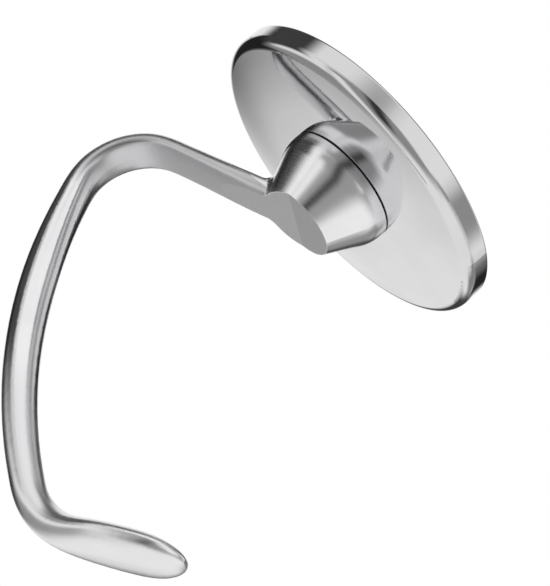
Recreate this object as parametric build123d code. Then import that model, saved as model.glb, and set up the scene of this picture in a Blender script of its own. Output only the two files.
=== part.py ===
from build123d import *
import os
from math import asin, cos, degrees, radians, sin

# Dough hook for a stand mixer: a cast C-shaped hook whose tapered hub carries a dished guard.
# The origin is the centre of the drive socket's mouth, +Z points out of the mouth along the bore,
# and the hook lies in the XZ plane with its arm towards -X. All sizes are in millimetres.

# Drive socket
BORE_DIAMETER = 12.8
BORE_DEPTH = 27.0
SOCKET_DIAMETER = 23.0
SOCKET_HEIGHT = 18.7
MOUTH_CHAMFER = 0.8
PIN_SLOT_WIDTH = 5.6
PIN_SLOT_DEPTH = 12.5
PIN_POCKET_ANGLE = 42.0

# Hub below the guard: a straight foot rounded into a cone, which is turned with spare length
HUB_DIAMETER = 37.5
HUB_FOOT_HEIGHT = 4.5
HUB_FOOT_ROUND = 12.0
HUB_SEAM_CHAMFER = 0.4
HUB_HEIGHT = 17.7
HUB_END_DIAMETER = 24.6
HUB_SPARE = 10.0

# Guard: a dish open towards the mixer, flat round the hub and slightly crowned further out
GUARD_DIAMETER = 99.2
GUARD_HEIGHT = 9.1
GUARD_FLAT_DIAMETER = 55.0
GUARD_CROWN_RADIUS = 225.0
GUARD_THICKNESS = 1.6
GUARD_CORNER_RADIUS = 3.1
GUARD_LIP_ROUND = 0.7
GUARD_HOLE_CLEARANCE = 0.1

# Hook centreline, from the hub's axis: a straight arm, three arcs and a straight paddle with its tip
ARM_DROP = 14.0
ARM_SLOPE = 12.7
ARM_LENGTH = 48.8
ARM_ROOT = 3.0
ARM_FILLET = 3.0
BEND_RADIUS = 18.8
BEND_ANGLE = 100.7
SWEEP_RADIUS = 156.1
SWEEP_ANGLE = 38.6
ELBOW_RADIUS = 23.9
ELBOW_ANGLE = 54.9
PADDLE_LENGTH = 16.7
TIP_LENGTH = 14.6

# Sections along the hook: the width across its plane, and the depth outside and inside the centreline.
# The arm is a strap with a flat cut along its inner face, the sweep a round rod and the end a paddle.
NECK_WIDTH = 16.0
NECK_OUTER_DEPTH = 6.0
ARM_WIDTH = 14.4
ARM_OUTER_DEPTH = 3.35
ARM_INNER_DEPTH = 4.1
FLAT_DEPTH = 3.45
BEND_WIDTH = 13.8
BEND_OUTER_DEPTH = 3.9
BEND_INNER_DEPTH = 2.4
ROD_DIAMETER = 10.9
ELBOW_WIDTH = 10.4
ELBOW_THICKNESS = 9.3
PADDLE_WIDTH = 20.4
PADDLE_THICKNESS = 8.0

# How full the corners of a section are, from an ellipse up to 1 for the squarest
ROUND_FULLNESS = 0.5523
STRAP_FULLNESS = 0.8
PADDLE_FULLNESS = 0.7

# How far the neck flares along the arm, and how far into the sweep, the elbow and the paddle
# their own sections are reached
NECK_LENGTH = 15.5
ROD_START = 36.0
ELBOW_START = 9.5
PADDLE_START = 11.0

# How many sections the loft takes on each piece of the centreline
ARM_STATIONS = 10
BEND_STATIONS = 6
SWEEP_STATIONS = 20
ELBOW_STATIONS = 4
PADDLE_STATIONS = 3
TIP_STATIONS = 5
TIP_END_ANGLE = 80.0

GUARD_Z = -SOCKET_HEIGHT


def hub_blank():
    """The turned socket and hub, with the cone run on past the hub's end."""
    cone_slope = (HUB_DIAMETER - HUB_END_DIAMETER) / 2 / (HUB_HEIGHT - HUB_FOOT_HEIGHT)
    blank_end = GUARD_Z - HUB_HEIGHT - HUB_SPARE
    profile = Polyline(
        (0, 0),
        (SOCKET_DIAMETER / 2, 0),
        (SOCKET_DIAMETER / 2, GUARD_Z),
        (HUB_DIAMETER / 2, GUARD_Z),
        (HUB_DIAMETER / 2, GUARD_Z - HUB_FOOT_HEIGHT),
        (HUB_END_DIAMETER / 2 - cone_slope * HUB_SPARE, blank_end),
        (0, blank_end),
        close=True,
    )
    section = make_face(profile)
    mouth = section.vertices().sort_by_distance((SOCKET_DIAMETER / 2, 0))[0]
    section = chamfer(mouth, MOUTH_CHAMFER)
    seam = section.vertices().sort_by_distance((HUB_DIAMETER / 2, GUARD_Z))[0]
    section = chamfer(seam, HUB_SEAM_CHAMFER)
    foot = section.vertices().sort_by_distance((HUB_DIAMETER / 2, GUARD_Z - HUB_FOOT_HEIGHT))[0]
    section = fillet(foot, HUB_FOOT_ROUND)
    return revolve(Plane.XZ * section, axis=Axis.Z)


def bore_and_slot():
    """What is cut out of the socket: the bore, the pin's way in and the pocket it turns into."""
    bore = Pos(0, 0, -BORE_DEPTH) * Cylinder(
        BORE_DIAMETER / 2, BORE_DEPTH, align=(Align.CENTER, Align.CENTER, Align.MIN)
    )
    slot = Pos(0, 0, -PIN_SLOT_DEPTH) * Box(
        SOCKET_DIAMETER, PIN_SLOT_WIDTH, PIN_SLOT_DEPTH, align=(Align.MIN, Align.CENTER, Align.MIN)
    )
    pocket_face = Pos(0, -PIN_SLOT_DEPTH) * Rectangle(
        SOCKET_DIAMETER, PIN_SLOT_WIDTH, align=(Align.MIN, Align.MIN)
    )
    pocket = revolve(Plane.XZ * pocket_face, axis=Axis.Z, revolution_arc=PIN_POCKET_ANGLE)
    return bore + slot + pocket


def hook_path():
    """The pieces of the hook's centreline in turn, drawn with X across and Z up."""
    heading = radians(180 + ARM_SLOPE)
    along = Vector(cos(heading), sin(heading))
    axis_point = Vector(0, GUARD_Z - ARM_DROP)
    arm = Line(axis_point - along * ARM_ROOT, axis_point + along * ARM_LENGTH)
    bend = JernArc(arm @ 1, arm % 1, BEND_RADIUS, BEND_ANGLE)
    sweep_arc = JernArc(bend @ 1, bend % 1, SWEEP_RADIUS, SWEEP_ANGLE)
    elbow = JernArc(sweep_arc @ 1, sweep_arc % 1, ELBOW_RADIUS, ELBOW_ANGLE)
    paddle = Line(elbow @ 1, elbow @ 1 + (elbow % 1) * PADDLE_LENGTH)
    tip = Line(paddle @ 1, paddle @ 1 + (paddle % 1) * TIP_LENGTH)
    return arm, bend, sweep_arc, elbow, paddle, tip


def sizes_at(place, keys):
    """The section's sizes at a place on the path, eased from one key section to the next."""
    for (first, begin), (last, end) in zip(keys, keys[1:]):
        if place <= last:
            break
    share = min(max((place - first) / (last - first), 0), 1)
    share = share * share * (3 - 2 * share)
    return [a + (b - a) * share for a, b in zip(begin, end)]


def half_section(half_width, half_depth, fullness):
    """Two curves from one side of a section over its crown to the other side."""
    side = (half_width, 0)
    side_pull = (half_width, half_depth * fullness)
    crown_pull = (half_width * fullness, half_depth)
    crown = (0, half_depth)
    far_crown_pull = (-half_width * fullness, half_depth)
    far_side_pull = (-half_width, half_depth * fullness)
    far_side = (-half_width, 0)
    return [
        Bezier(side, side_pull, crown_pull, crown),
        Bezier(crown, far_crown_pull, far_side_pull, far_side),
    ]


def section_face(place, heading, sizes):
    """One closed section across the path, with the inner side of the hook along its own +Y."""
    half_width, outer, inner, outer_fullness, inner_fullness = sizes
    inner_edges = half_section(half_width, inner, inner_fullness)
    outer_edges = half_section(-half_width, -outer, outer_fullness)
    plane = Plane(
        origin=(place.X, 0, place.Y),
        x_dir=(0, 1, 0),
        z_dir=(heading.X, 0, heading.Y),
    )
    return plane * make_face(inner_edges + outer_edges)


def section_sizes(width, outer_depth, inner_depth, outer_fullness, inner_fullness):
    """A section's half-width, its two depths and how full its outer and inner corners are."""
    return [width / 2, outer_depth, inner_depth, outer_fullness, inner_fullness]


def hook_sections():
    """Sections from the neck inside the hub to the paddle's tip."""
    *pieces, tip = hook_path()
    arm, bend, sweep_arc, elbow, paddle = [piece.length for piece in pieces]
    paddle_sizes = section_sizes(
        PADDLE_WIDTH, PADDLE_THICKNESS / 2, PADDLE_THICKNESS / 2, PADDLE_FULLNESS, ROUND_FULLNESS
    )
    elbow_sizes = section_sizes(
        ELBOW_WIDTH, ELBOW_THICKNESS / 2, ELBOW_THICKNESS / 2, ROUND_FULLNESS, ROUND_FULLNESS
    )
    rod_sizes = section_sizes(
        ROD_DIAMETER, ROD_DIAMETER / 2, ROD_DIAMETER / 2, ROUND_FULLNESS, ROUND_FULLNESS
    )
    bend_sizes = section_sizes(
        BEND_WIDTH, BEND_OUTER_DEPTH, BEND_INNER_DEPTH, ROUND_FULLNESS, STRAP_FULLNESS
    )
    arm_sizes = section_sizes(
        ARM_WIDTH, ARM_OUTER_DEPTH, ARM_INNER_DEPTH, ROUND_FULLNESS, STRAP_FULLNESS
    )
    neck_sizes = section_sizes(
        NECK_WIDTH, NECK_OUTER_DEPTH, ARM_INNER_DEPTH, ROUND_FULLNESS, STRAP_FULLNESS
    )
    keys = [
        (0, neck_sizes),
        (NECK_LENGTH, arm_sizes),
        (arm, bend_sizes),
        (arm + bend + ROD_START, rod_sizes),
        (arm + bend + sweep_arc + ELBOW_START, elbow_sizes),
        (arm + bend + sweep_arc + elbow + PADDLE_START, paddle_sizes),
    ]
    faces = []
    start = 0
    counts = (ARM_STATIONS, BEND_STATIONS, SWEEP_STATIONS, ELBOW_STATIONS, PADDLE_STATIONS)
    for piece, count in zip(pieces, counts):
        for i in range(count):
            share = i / count
            sizes = sizes_at(start + share * piece.length, keys)
            faces.append(section_face(piece @ share, piece % share, sizes))
        start += piece.length
    for i in range(TIP_STATIONS):
        angle = radians(TIP_END_ANGLE * i / (TIP_STATIONS - 1))
        half_width, outer, inner, *fullness = paddle_sizes
        sizes = [size * cos(angle) for size in (half_width, outer, inner)] + fullness
        faces.append(section_face(tip @ sin(angle), tip % 0, sizes))
    return faces


def crown_arc(start, reach, radius):
    """An arc that leaves a flat smoothly and rises until it has reached a distance from the axis."""
    return JernArc(start, (1, 0), radius, degrees(asin((reach - start[0]) / radius)))


def guard():
    """The spun guard: a crowned underside, a rounded corner and a rim turned up to a rounded lip."""
    radius = GUARD_DIAMETER / 2
    hole = SOCKET_DIAMETER / 2 + GUARD_HOLE_CLEARANCE
    flat_end = (GUARD_FLAT_DIAMETER / 2, 0)
    inner_flat_end = (GUARD_FLAT_DIAMETER / 2, GUARD_THICKNESS)
    crown = crown_arc(flat_end, radius, GUARD_CROWN_RADIUS)
    inner_radius = radius - GUARD_THICKNESS
    inner_crown = crown_arc(inner_flat_end, inner_radius, GUARD_CROWN_RADIUS - GUARD_THICKNESS)
    outer_corner = crown @ 1
    inner_corner = inner_crown @ 1
    lip = [(radius, GUARD_HEIGHT), (inner_radius, GUARD_HEIGHT)]
    rim = Polyline(outer_corner, *lip, inner_corner)
    middle = Polyline(inner_flat_end, (hole, GUARD_THICKNESS), (hole, 0), flat_end)
    section = make_face([crown, *rim.edges(), inner_crown, *middle.edges()])
    rounds = [
        (outer_corner, GUARD_CORNER_RADIUS),
        (inner_corner, GUARD_CORNER_RADIUS - GUARD_THICKNESS),
        (lip[0], GUARD_LIP_ROUND),
        (lip[1], GUARD_LIP_ROUND),
    ]
    for corner, size in rounds:
        section = fillet(section.vertices().sort_by_distance(corner)[0], size)
    return Pos(0, 0, GUARD_Z) * revolve(Plane.XZ * section, axis=Axis.Z)


def underside():
    """What is cut away below: level at the hub's end, then along the flat of the arm."""
    arm = hook_path()[0]
    along = arm % 0
    inward = Vector(-along.Y, along.X)
    level = GUARD_Z - HUB_HEIGHT
    flat_start = arm @ 0 + inward * FLAT_DEPTH
    flat_end = arm @ 1 + inward * FLAT_DEPTH
    corner = flat_start + along * ((level - flat_start.Y) / along.Y)
    cut_depth = 2 * HUB_SPARE
    low_end = flat_end + inward * cut_depth
    outline = Polyline(
        (corner.X, level),
        (flat_end.X, flat_end.Y),
        (low_end.X, low_end.Y),
        (corner.X, low_end.Y),
        (HUB_DIAMETER, level - cut_depth),
        (HUB_DIAMETER, level),
        close=True,
    )
    return extrude(Plane.XZ * make_face(outline), amount=HUB_DIAMETER, both=True)


def hook_body():
    """The hub and the hook as one casting, filleted where the arm leaves the hub's cone."""
    hub = hub_blank()
    arm = loft(hook_sections())
    casting = hub + arm
    casting = fillet(new_edges(hub, arm, combined=casting), ARM_FILLET)
    return casting - underside() - bore_and_slot()


hook = hook_body()
dough_collar = guard()

os.makedirs("parts", exist_ok=True)
for name, solid in (("hook", hook), ("dough_collar", dough_collar)):
    export_step(solid, f"parts/{name}.step")
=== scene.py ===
from math import cos, radians, sin

import bpy
from mathutils import Matrix, Vector


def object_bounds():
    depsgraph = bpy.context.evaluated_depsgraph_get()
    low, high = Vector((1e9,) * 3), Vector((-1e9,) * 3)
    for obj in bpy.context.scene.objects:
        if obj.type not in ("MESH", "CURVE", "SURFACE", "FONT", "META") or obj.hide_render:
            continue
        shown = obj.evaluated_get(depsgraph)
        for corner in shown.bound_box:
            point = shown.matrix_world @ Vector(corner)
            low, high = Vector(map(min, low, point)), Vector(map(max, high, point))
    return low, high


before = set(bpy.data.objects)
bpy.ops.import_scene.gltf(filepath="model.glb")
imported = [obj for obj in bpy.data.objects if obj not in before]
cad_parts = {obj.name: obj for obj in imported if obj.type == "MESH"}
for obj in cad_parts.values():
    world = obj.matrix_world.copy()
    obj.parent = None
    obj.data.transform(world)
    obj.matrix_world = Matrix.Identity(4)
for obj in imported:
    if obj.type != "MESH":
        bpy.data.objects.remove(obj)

cad_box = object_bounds()

# Camera, in the part's frame: where it stands and which way its picture lies
CAMERA_PLACE = Vector((0.312416, -0.442943, -0.222189))
RIGHT = Vector((0.66681431, 0.18156675, 0.72276703))
UP = Vector((-0.51932421, -0.58236952, 0.62541834))
BACK = Vector((0.53447267, -0.79238832, -0.29404033))
FOCAL_PIXELS = 2000.0
IMAGE_HEIGHT = 586.0
SENSOR = 36.0
CLIP_START = 0.01

# Floor: how far it lies under the part, its side and its finish
FLOOR_DROP = 0.15
FLOOR_SIZE = 6.0
FLOOR_COLOUR = (0.9, 0.9, 0.9, 1.0)
FLOOR_ROUGHNESS = 0.8

# Soft lamp above the part
LAMP_PLACE = Vector((0.15, -0.2, 0.7))
LAMP_TARGET = Vector((0.0, 0.0, -0.1))
LAMP_SIZE = 0.5
LAMP_POWER = 3.0

# The white background that the camera, metal and glass see, and the room's light on the rest
WHITE = (1.0, 1.0, 1.0, 1.0)
BACKGROUND = 1.0
ROOM_LIGHT = 0.95

# What reflections show in front of that background: a grey room on the camera's side, with openings
# to the background in it, and dark flags. Each card has its middle (azimuth, elevation), half its
# width and height, its turn and the softness of its edge, all in degrees about the camera, and its
# brightness. A later card covers an earlier one.
CARDS = {
    "room": (-20, 0, 122, 54, 0, 12, 0.35),
    "open_floor": (0, -90, 50, 50, 0, 18, BACKGROUND),
    "open_left": (-86, 34, 26, 24, 0, 7, BACKGROUND),
    "open_strip": (-54, -2, 9, 38, -12, 7, BACKGROUND),
    "open_right": (51, 28, 23, 40, 0, 8, BACKGROUND),
    "flag_camera": (-9, 16, 9, 32, -32, 7, 0.05),
    "flag_left": (-136, 18, 19, 35, 0, 7, 0.02),
    "flag_right": (144, 8, 18, 40, 0, 6, 0.02),
    "flag_top": (-172, 64, 60, 20, 0, 8, 0.06),
    "flag_low": (178, -29, 17, 16, 0, 6, 0.06),
    "flag_corner": (142, -45, 20, 14, -30, 8, 0.30),
}

# Zones of the hook's finish. Each pair is where the zone begins and where it is full.
HUB_LEVELS = (-0.0368, -0.0362)
HUB_RADII = (0.0202, 0.0192)
# A thin dark line at the hub's seam, painted shade of the joint's groove
SEAM_Z = -0.0187
SEAM_WIDTHS = (0.00039, 0.00021)
FLAT_LOW_LEVELS = (-0.060, -0.048)
FLAT_TOP_LEVELS = (-0.030, -0.032)
FLAT_FACING = (0.62, 0.98)
ARM_LEVELS = (-0.074, -0.062)
PADDLE_LEVELS = (-0.118, -0.132)

# Zone of the guard's inside, which keeps its spun, satin finish
DISH_FACING = (0.55, 0.75)
DISH_RADII = (0.048, 0.047)

# Steel by zone, where two are given from its darkest to its lightest
POLISHED_STEEL = ((0.80, 0.80, 0.81, 1.0), (0.86, 0.86, 0.87, 1.0))
SATIN_STEEL = (0.60, 0.60, 0.61, 1.0)
GROUND_STEEL = (0.62, 0.62, 0.63, 1.0)
GUARD_STEEL = ((0.66, 0.66, 0.67, 1.0), (0.70, 0.70, 0.71, 1.0))
DISH_STEEL = ((0.52, 0.52, 0.53, 1.0), (0.64, 0.64, 0.65, 1.0))
# Pale steel of the painted highlight along the edges
HIGHLIGHT_STEEL = (0.90, 0.90, 0.90, 1.0)
# Near-black of the painted shade in the seam's groove
SEAM_SHADE = (0.08, 0.08, 0.08, 1.0)

# Roughness by zone, from its smoothest to its roughest
POLISHED_ROUGH = (0.13, 0.19)
SATIN_ROUGH = (0.28, 0.34)
HUB_ROUGH = (0.17, 0.22)
GROUND_ROUGH = (0.62, 0.70)
GUARD_ROUGH = (0.03, 0.055)
SPIN_ROUGH = (0.0, 0.02)
DISH_ROUGH = (0.24, 0.34)
# Roughness under the painted edge highlight, on the hook and on the guard
HOOK_HIGHLIGHT_ROUGH = 0.28
GUARD_HIGHLIGHT_ROUGH = 0.16
# Roughness in the seam's painted shade
SEAM_SHADE_ROUGH = 0.6

# Painted highlight along edges, a band of paler steel: how far it reaches and how much of it colours
# the steel
HOOK_EDGE_HIGHLIGHT = (0.0006, 0.6)
GUARD_EDGE_HIGHLIGHT = (0.0004, 0.5)
HIGHLIGHT_TURN = (0.99, 0.90)
HIGHLIGHT_SAMPLES = 4

# Marks in the steel: how fine they are, their octaves, and how deep those that show as relief are
BUFFING = (55.0, 3.0)
GRAIN = (1400.0, 2.0, 0.6)
TURNING = (2600.0, 2.0)
SPINNING = (900.0, 3.0)
TRACKS = (420.0, 2.0)
SMUDGE = (45.0, 3.0)
GRAIN_DEPTH = 2.0e-6
TURNING_DEPTH = 2.0e-6
SPINNING_DEPTH = 0.6e-6
TRACKS_DEPTH = 8.0e-6

# Spans of a mark's noise that a finish is spread over
NOISE_SPAN = (0.3, 0.7)
SMUDGE_SPAN = (0.3, 0.75)
SPINNING_SPAN = (0.35, 0.7)

DOWN_AXIS = (0.0, 0.0, -1.0)
UP_AXIS = (0.0, 0.0, 1.0)


class Nodes:
    """Short calls for building a node tree."""

    def __init__(self, tree):
        self.tree = tree
        tree.nodes.clear()

    def add(self, kind, **settings):
        node = self.tree.nodes.new(kind)
        for name, value in settings.items():
            setattr(node, name, value)
        return node

    def join(self, source, target):
        self.tree.links.new(source, target)

    def put(self, value, socket):
        if isinstance(value, bpy.types.NodeSocket):
            self.join(value, socket)
        else:
            socket.default_value = value

    def math(self, operation, *values):
        node = self.add("ShaderNodeMath", operation=operation)
        for value, socket in zip(values, node.inputs):
            self.put(value, socket)
        return node.outputs[0]

    def both(self, first, second):
        return self.math("MULTIPLY", first, second)

    def dot(self, vector, axis):
        node = self.add("ShaderNodeVectorMath", operation="DOT_PRODUCT")
        self.put(vector, node.inputs[0])
        self.put(axis, node.inputs[1])
        return node.outputs["Value"]

    def ramp(self, value, span, results=(0.0, 1.0)):
        """A smooth step over a span of the value, from the first result to the second."""
        node = self.add("ShaderNodeMapRange", interpolation_type="SMOOTHSTEP")
        self.put(value, node.inputs["Value"])
        node.inputs["From Min"].default_value = span[0]
        node.inputs["From Max"].default_value = span[1]
        node.inputs["To Min"].default_value = results[0]
        node.inputs["To Max"].default_value = results[1]
        return node.outputs["Result"]

    def mix(self, factor, first, second):
        node = self.add("ShaderNodeMix", data_type="FLOAT")
        self.put(factor, node.inputs[0])
        self.put(first, node.inputs[2])
        self.put(second, node.inputs[3])
        return node.outputs[0]

    def mix_colour(self, factor, first, second):
        node = self.add("ShaderNodeMix", data_type="RGBA")
        self.put(factor, node.inputs[0])
        self.put(first, node.inputs[6])
        self.put(second, node.inputs[7])
        return node.outputs[2]

    def noise(self, vector, scale, detail, roughness=0.5):
        node = self.add("ShaderNodeTexNoise")
        self.put(vector, node.inputs["Vector"])
        node.inputs["Scale"].default_value = scale
        node.inputs["Detail"].default_value = detail
        node.inputs["Roughness"].default_value = roughness
        return node.outputs["Fac"]

    def rings(self, value, scale, detail):
        node = self.add("ShaderNodeTexNoise", noise_dimensions="1D")
        self.put(value, node.inputs["W"])
        node.inputs["Scale"].default_value = scale
        node.inputs["Detail"].default_value = detail
        return node.outputs["Fac"]

    def bump(self, height, depth, below=None):
        node = self.add("ShaderNodeBump")
        node.inputs["Strength"].default_value = 1.0
        node.inputs["Distance"].default_value = depth
        self.join(height, node.inputs["Height"])
        if below is not None:
            self.join(below, node.inputs["Normal"])
        return node.outputs["Normal"]

    def cylinder(self):
        """Place on the part, height along its axis and distance from it."""
        place = self.add("ShaderNodeTexCoord").outputs["Object"]
        parts = self.add("ShaderNodeSeparateXYZ")
        self.join(place, parts.inputs[0])
        across = self.math("POWER", parts.outputs["X"], 2.0)
        along = self.math("POWER", parts.outputs["Y"], 2.0)
        radius = self.math("SQRT", self.math("ADD", across, along))
        return place, parts.outputs["Z"], radius

    def facing(self, axis):
        """1 where the surface faces along the axis."""
        return self.dot(self.add("ShaderNodeTexCoord").outputs["Normal"], axis)

    def edges(self, reach):
        """1 along the part's edges and 0 on its open faces."""
        rounded = self.add("ShaderNodeBevel", samples=HIGHLIGHT_SAMPLES)
        rounded.inputs["Radius"].default_value = reach
        plain = self.add("ShaderNodeNewGeometry").outputs["Normal"]
        return self.ramp(self.dot(rounded.outputs["Normal"], plain), HIGHLIGHT_TURN)


def add_camera():
    data = bpy.data.cameras.new("camera")
    data.sensor_width = SENSOR
    data.lens = FOCAL_PIXELS / IMAGE_HEIGHT * SENSOR
    data.clip_start = CLIP_START
    camera = bpy.data.objects.new("camera", data)
    bpy.context.scene.collection.objects.link(camera)
    turn = Matrix((RIGHT, UP, BACK)).transposed().to_4x4()
    camera.matrix_world = Matrix.Translation(CAMERA_PLACE) @ turn
    bpy.context.scene.camera = camera


def studio_direction(azimuth, elevation):
    """A direction in the part's frame from its angles about the camera: 0, 0 is back to it."""
    a = radians(azimuth)
    e = radians(elevation)
    return RIGHT * (sin(a) * cos(e)) + UP * sin(e) + BACK * (cos(a) * cos(e))


def on_card(n, direction, azimuth, elevation, wide, high, turn, soft):
    """1 where a ray's direction meets a card of the studio and 0 past its soft edge."""
    middle = studio_direction(azimuth, elevation)
    across = studio_direction(azimuth + 90.0, 0.0)
    upward = middle.cross(across)
    across.rotate(Matrix.Rotation(radians(turn), 3, middle))
    upward.rotate(Matrix.Rotation(radians(turn), 3, middle))
    ahead = n.dot(direction, middle)
    sideways = n.math("ABSOLUTE", n.math("ARCTAN2", n.dot(direction, across), ahead))
    vertical = n.math("ABSOLUTE", n.math("ARCSINE", n.dot(direction, upward)))
    in_width = n.ramp(sideways, (radians(wide + soft), radians(wide - soft)))
    in_height = n.ramp(vertical, (radians(high + soft), radians(high - soft)))
    return n.both(in_width, in_height)


def add_world():
    world = bpy.data.worlds.new("studio")
    bpy.context.scene.world = world
    world.use_nodes = True
    n = Nodes(world.node_tree)
    direction = n.add("ShaderNodeTexCoord").outputs["Generated"]
    mirrored = BACKGROUND
    for *shape, brightness in CARDS.values():
        mirrored = n.mix(on_card(n, direction, *shape), mirrored, brightness)
    path = n.add("ShaderNodeLightPath").outputs
    straight = n.math("MAXIMUM", path["Is Camera Ray"], path["Is Transmission Ray"])
    seen = n.mix(straight, ROOM_LIGHT, BACKGROUND)
    background = n.add("ShaderNodeBackground")
    background.inputs["Color"].default_value = WHITE
    strength = n.mix(path["Is Glossy Ray"], seen, mirrored)
    n.join(strength, background.inputs["Strength"])
    out = n.add("ShaderNodeOutputWorld")
    n.join(background.outputs[0], out.inputs["Surface"])


def add_floor():
    mesh = bpy.data.meshes.new("floor")
    half = FLOOR_SIZE / 2
    level = cad_box[0].z - FLOOR_DROP
    corners = [(x, y, level) for x, y in ((-half, -half), (half, -half), (half, half), (-half, half))]
    mesh.from_pydata(corners, [], [(0, 1, 2, 3)])
    floor = bpy.data.objects.new("floor", mesh)
    bpy.context.scene.collection.objects.link(floor)
    floor.visible_glossy = False
    material = bpy.data.materials.new("pale_floor")
    material.use_nodes = True
    shader = material.node_tree.nodes["Principled BSDF"]
    shader.inputs["Base Color"].default_value = FLOOR_COLOUR
    shader.inputs["Roughness"].default_value = FLOOR_ROUGHNESS
    mesh.materials.append(material)


def add_lamp():
    data = bpy.data.lights.new("overhead", "AREA")
    data.shape = "DISK"
    data.size = LAMP_SIZE
    data.energy = LAMP_POWER
    lamp = bpy.data.objects.new("overhead", data)
    bpy.context.scene.collection.objects.link(lamp)
    lamp.location = LAMP_PLACE
    lamp.rotation_euler = (LAMP_TARGET - LAMP_PLACE).to_track_quat("-Z", "Y").to_euler()
    lamp.visible_glossy = False


def metal(name):
    material = bpy.data.materials.new(name)
    material.use_nodes = True
    n = Nodes(material.node_tree)
    shader = n.add("ShaderNodeBsdfPrincipled")
    shader.inputs["Metallic"].default_value = 1.0
    out = n.add("ShaderNodeOutputMaterial")
    n.join(shader.outputs[0], out.inputs["Surface"])
    return material, n, shader.inputs


def hook_material():
    material, n, shader = metal("polished_casting")
    place, height, radius = n.cylinder()
    in_hub = n.both(n.ramp(height, HUB_LEVELS), n.ramp(radius, HUB_RADII))
    from_seam = n.math("ABSOLUTE", n.math("SUBTRACT", height, SEAM_Z))
    # A thin band along the seam for its painted shade
    seam = n.both(n.ramp(from_seam, SEAM_WIDTHS), in_hub)
    flat_levels = n.both(n.ramp(height, FLAT_LOW_LEVELS), n.ramp(height, FLAT_TOP_LEVELS))
    in_flat = n.both(n.ramp(n.facing(DOWN_AXIS), FLAT_FACING), flat_levels)
    on_arm = n.ramp(height, ARM_LEVELS)
    on_paddle = n.ramp(height, PADDLE_LEVELS)
    highlight_reach, highlight_share = HOOK_EDGE_HIGHLIGHT
    # Mask of the edges for their painted highlight
    edge_highlight = n.edges(highlight_reach)
    buffing = n.noise(place, *BUFFING)
    grain = n.noise(place, *GRAIN)
    turning = n.rings(height, *TURNING)

    tone = n.mix_colour(n.ramp(buffing, NOISE_SPAN), *POLISHED_STEEL)
    tone = n.mix_colour(n.both(on_arm, n.math("SUBTRACT", 1.0, in_hub)), tone, SATIN_STEEL)
    tone = n.mix_colour(in_flat, tone, GROUND_STEEL)
    # Edges lightened towards pale steel: painted highlight
    tone = n.mix_colour(n.both(edge_highlight, highlight_share), tone, HIGHLIGHT_STEEL)
    # The seam darkened to near-black: painted shade of its groove
    n.join(n.mix_colour(seam, tone, SEAM_SHADE), shader["Base Color"])

    polish = n.ramp(buffing, NOISE_SPAN, POLISHED_ROUGH)
    satin = n.ramp(buffing, NOISE_SPAN, SATIN_ROUGH)
    rough = n.mix(n.math("MAXIMUM", on_arm, on_paddle), polish, satin)
    rough = n.mix(in_hub, rough, n.ramp(turning, NOISE_SPAN, HUB_ROUGH))
    rough = n.mix(in_flat, rough, n.ramp(grain, NOISE_SPAN, GROUND_ROUGH))
    rough = n.mix(edge_highlight, rough, HOOK_HIGHLIGHT_ROUGH)
    n.join(n.mix(seam, rough, SEAM_SHADE_ROUGH), shader["Roughness"])

    pitted = n.bump(grain, GRAIN_DEPTH)
    n.join(n.bump(n.both(turning, in_hub), TURNING_DEPTH, pitted), shader["Normal"])
    return material


def guard_material():
    material, n, shader = metal("mirror_sheet")
    place, _, radius = n.cylinder()
    inside = n.both(n.ramp(n.facing(UP_AXIS), DISH_FACING), n.ramp(radius, DISH_RADII))
    spinning = n.rings(radius, *SPINNING)
    tracks = n.rings(radius, *TRACKS)
    smudge = n.noise(place, *SMUDGE)
    highlight_reach, highlight_share = GUARD_EDGE_HIGHLIGHT
    # Mask of the edges for their painted highlight
    edge_highlight = n.edges(highlight_reach)

    tone = n.mix_colour(n.ramp(smudge, NOISE_SPAN), *GUARD_STEEL)
    tone = n.mix_colour(inside, tone, n.mix_colour(n.ramp(tracks, NOISE_SPAN), *DISH_STEEL))
    # Edges lightened towards pale steel: painted highlight
    n.join(n.mix_colour(n.both(edge_highlight, highlight_share), tone, HIGHLIGHT_STEEL), shader["Base Color"])

    smudged = n.ramp(smudge, SMUDGE_SPAN, GUARD_ROUGH)
    rough = n.math("ADD", smudged, n.ramp(spinning, SPINNING_SPAN, SPIN_ROUGH))
    rough = n.mix(inside, rough, n.ramp(tracks, NOISE_SPAN, DISH_ROUGH))
    n.join(n.mix(edge_highlight, rough, GUARD_HIGHLIGHT_ROUGH), shader["Roughness"])

    polished = n.bump(spinning, SPINNING_DEPTH)
    n.join(n.bump(n.both(tracks, inside), TRACKS_DEPTH, polished), shader["Normal"])
    return material


def dress(node, material):
    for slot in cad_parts[node].material_slots:
        slot.material = material


bpy.context.scene.view_settings.view_transform = "Standard"
add_camera()
add_world()
add_floor()
add_lamp()
dress("hook", hook_material())
dress("dough_collar", guard_material())
